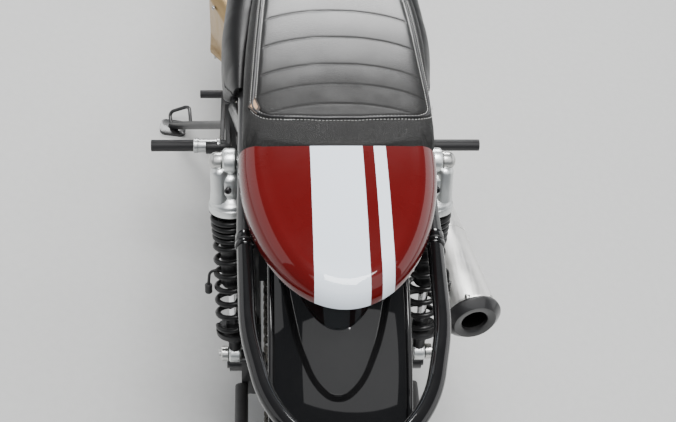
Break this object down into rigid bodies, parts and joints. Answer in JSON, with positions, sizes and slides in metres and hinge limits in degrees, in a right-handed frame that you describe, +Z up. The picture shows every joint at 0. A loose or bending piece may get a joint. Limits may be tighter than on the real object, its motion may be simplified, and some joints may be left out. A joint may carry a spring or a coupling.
{
  "type": "cafe racer motorcycle",
  "caption": "Cafe racer motorcycle with a ribbed seat, striped rounded tail cowl, rear loop, twin shocks, wire wheels and one short muffler, leaning on its side stand.",
  "frame": {"origin": "centre of the footprint's bounding box on the ground, under the leaning machine", "axes": "+Y forwards, +X to the machine's right, +Z up; the machine leans to its left on its side stand"},
  "size_m": [0.8747, 2.1529, 1.0282],
  "materials": {
    "frame_black": "satin",
    "gloss_black": "gloss",
    "polished_alloy": "polished",
    "spring_black": "satin",
    "cast_alloy": "satin",
    "satin_alloy": "satin",
    "exhaust_steel": "brushed",
    "satin_black": "satin",
    "chain_steel": "satin",
    "red_paint": "gloss",
    "chrome": "polished",
    "seat_leather": "grained",
    "black_plastic": "matte",
    "lamp_red": "gloss",
    "tyre": "matte",
    "rim_alloy": "polished",
    "disc_steel": "brushed",
    "grip_rubber": "matte",
    "lamp_glass": "clear"
  },
  "bodies": {
    "chassis": {"frame": "frame_black", "rear_loop": "gloss_black", "swingarm": "frame_black", "shock_bodies": "polished_alloy", "shock_springs": "spring_black", "crankcase": "cast_alloy", "cylinders": "cast_alloy", "cylinder_head": "cast_alloy", "clutch_cover": "polished_alloy", "left_covers": "polished_alloy", "intakes": "satin_alloy", "exhaust_headers": "exhaust_steel", "muffler": "exhaust_steel", "muffler_end_cap": "satin_black", "chain": "chain_steel", "chain_guard": "satin_black", "fuel_tank": "red_paint", "fuel_cap": "chrome", "seat_pad": "seat_leather", "seat_base": "black_plastic", "tail_cowl": "red_paint", "rear_fender": "gloss_black", "tail_light": "lamp_red", "plate_holder": "black_plastic", "side_covers": "gloss_black", "rearset_left": "satin_black", "rearset_right": "satin_black", "rear_caliper": "satin_black"},
    "rear_wheel": {"rear_tyre": "tyre", "rear_rim": "rim_alloy", "rear_hub": "satin_alloy", "rear_sprocket": "chain_steel", "rear_disc": "disc_steel"},
    "fork": {"triple_clamps": "satin_alloy", "fork_tubes": "chrome", "fork_lowers": "polished_alloy", "clip_ons": "satin_black", "grips": "grip_rubber", "bar_controls": "satin_black", "bar_end_mirrors": "satin_black", "headlight": "chrome", "headlight_lens": "lamp_glass", "gauges": "satin_black", "front_fender": "gloss_black", "front_calipers": "satin_alloy"},
    "front_wheel": {"front_tyre": "tyre", "front_rim": "rim_alloy", "front_hub": "satin_alloy", "front_discs": "disc_steel"},
    "side_stand": {"side_stand": "frame_black"}
  },
  "joints": [
    {"name": "steering", "type": "hinge", "parent": "chassis", "child": "fork", "pos_m": [0.01887, 0.51562, 0.80604], "axis": [-0.1592, -0.3987, 0.9031], "range_deg": [-28, 28]},
    {"name": "front_wheel_spin", "type": "hinge", "parent": "fork", "child": "front_wheel", "pos_m": [0.10874, 0.7765, 0.29638], "axis": [0.9848, 0, 0.1736], "continuous": true},
    {"name": "rear_wheel_spin", "type": "hinge", "parent": "chassis", "child": "rear_wheel", "pos_m": [0.1066, -0.6385, 0.30851], "axis": [0.9848, 0, 0.1736], "continuous": true},
    {"name": "side_stand_fold", "type": "hinge", "parent": "chassis", "child": "side_stand", "pos_m": [-0.02232, 0.0515, 0.17584], "axis": [-0.7265, 0.1619, 0.6679], "range_deg": [0, 120.2]}
  ]
}
